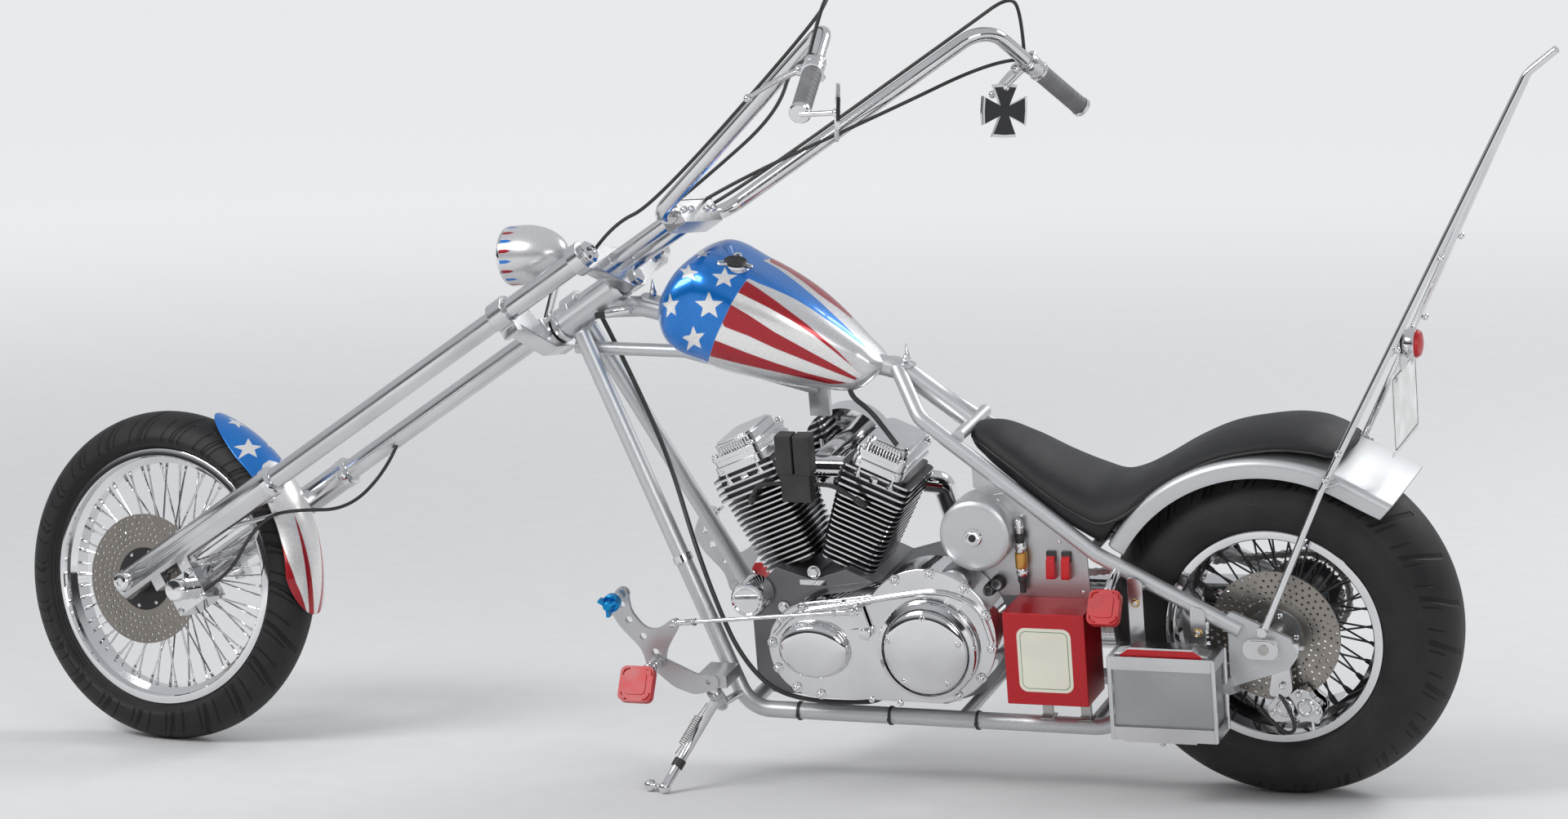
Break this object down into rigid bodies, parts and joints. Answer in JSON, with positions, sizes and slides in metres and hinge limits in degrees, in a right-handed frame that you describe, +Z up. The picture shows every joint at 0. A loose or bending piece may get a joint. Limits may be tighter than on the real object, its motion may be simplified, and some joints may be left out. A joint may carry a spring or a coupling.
{
  "type": "chopper motorcycle",
  "caption": "Long rigid-frame chopper with raked fork, finned V-twin, tall bars, stars-and-stripes tank, step seat and sissy bar, leaning on its side stand.",
  "frame": {"origin": "centre of the bounding box's base on the ground, leaning on its side stand", "axes": "-X to the front wheel, +Y to the rider's right, +Z up"},
  "size_m": [3.1599, 1.1835, 1.5155],
  "materials": {
    "frame_paint": "silver metallic",
    "polished": "polished",
    "chrome": "bright",
    "tank_paint": "gloss, stars and stripes",
    "seat_cover": "black, soft",
    "tyre": "matt black",
    "black_metal": "black wrinkle",
    "red_paint": "red gloss",
    "steel": "brushed",
    "grip": "grey rubber",
    "lens": "clear",
    "red_plastic": "red",
    "plate_white": "white, blank",
    "cast": "cast grey",
    "cable": "black, smooth"
  },
  "bodies": {
    "frame": {"frame_spine": "frame_paint", "frame_loop_left": "frame_paint", "frame_loop_right": "frame_paint", "rear_axle": "steel", "fuel_tank": "tank_paint", "fuel_cap": "chrome", "seat": "seat_cover", "rear_fender": "frame_paint", "sissy_bar": "chrome", "tail_lamp": "red_plastic", "number_plate": "plate_white", "crankcase": "cast", "cylinders": "black_metal", "cylinder_heads": "chrome", "primary_cover": "chrome", "coil_unit": "black_metal", "oil_filter": "chrome", "oil_canister": "frame_paint", "electrics_plate": "steel", "side_box": "red_paint", "battery_box": "polished", "air_cleaner": "chrome", "exhaust": "chrome", "final_chain": "steel", "foot_control_left": "polished", "foot_control_right": "polished", "shift_rod": "chrome", "passenger_pegs": "red_paint", "rear_caliper": "polished", "stand_bracket": "chrome", "pushrod_tubes": "chrome", "clutch_cable": "cable"},
    "fork": {"front_axle": "chrome", "fork_leg_left": "polished", "fork_leg_right": "polished", "lower_tree": "polished", "top_tree": "polished", "handlebar": "chrome", "grips": "grip", "hand_controls": "polished", "mirrors": "chrome", "headlight": "frame_paint", "headlight_lens": "lens", "front_fender": "tank_paint", "front_caliper": "chrome", "control_cables": "cable"},
    "front_wheel_body": {"front_tyre": "tyre", "front_wheel": "chrome"},
    "rear_wheel_body": {"rear_tyre": "tyre", "rear_wheel": "steel"},
    "side_stand_body": {"side_stand": "chrome"}
  },
  "joints": [
    {"name": "rear_wheel_turn", "type": "hinge", "parent": "frame", "child": "rear_wheel_body", "pos_m": [1.03194, 0.20527, 0.32836], "axis": [0, 0.9869, 0.1614], "continuous": true},
    {"name": "steering", "type": "hinge", "parent": "frame", "child": "fork", "pos_m": [-0.36642, 0.12028, 0.84806], "axis": [0.8323, -0.0895, 0.5471], "range_deg": [-15.97, 48.03]},
    {"name": "front_wheel_turn", "type": "hinge", "parent": "fork", "child": "front_wheel_body", "pos_m": [-1.25692, 0.22056, 0.32552], "axis": [0.1531, 0.9856, -0.0717], "continuous": true},
    {"name": "side_stand_fold", "type": "hinge", "parent": "frame", "child": "side_stand_body", "pos_m": [-0.03415, 0.03944, 0.16513], "axis": [0.0458, -0.8037, 0.5933], "range_deg": [0, 98.4]}
  ]
}
